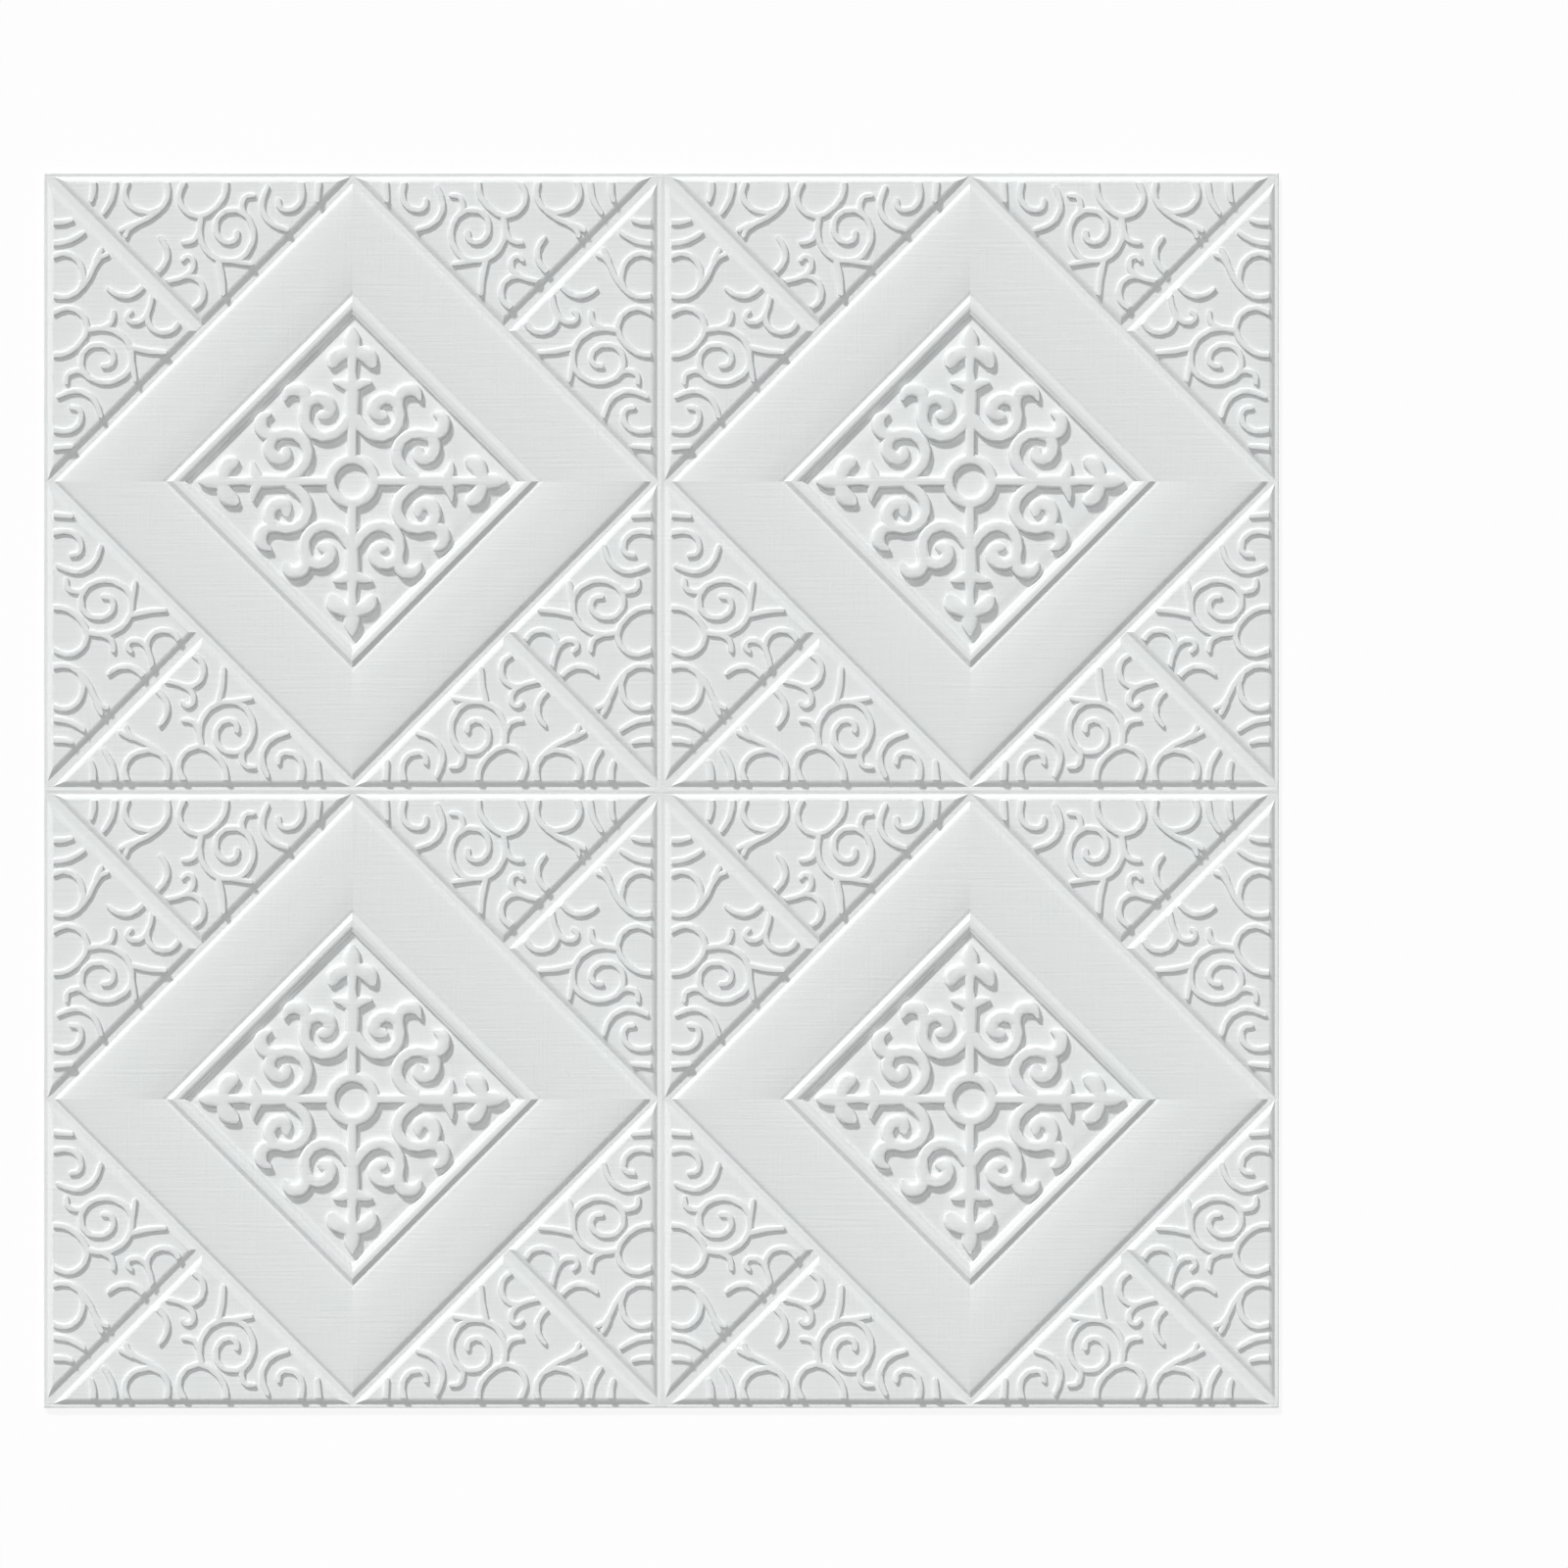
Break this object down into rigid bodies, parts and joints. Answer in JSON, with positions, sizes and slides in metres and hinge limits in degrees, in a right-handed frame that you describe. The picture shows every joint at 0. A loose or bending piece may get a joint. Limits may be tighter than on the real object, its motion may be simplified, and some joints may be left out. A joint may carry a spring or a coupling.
{
  "type": "self-adhesive pvc foam ceiling tile",
  "caption": "Square self-adhesive PVC foam ceiling tile, face up, embossed with diamond fields, corner pads, pressed grooves and a raised arabesque in each module.",
  "frame": {"origin": "middle of the flat back, which lies on the floor", "axes": "+Z out of the embossed face, +X and +Y along the tile's sides, +Y is the picture's up"},
  "size_m": [0.7, 0.7, 0.0055],
  "materials": {
    "pvc_foam": "matte white foam skin with a fine linen grain"
  },
  "bodies": {
    "root": {"ceiling_tile": "pvc_foam"}
  },
  "joints": []
}
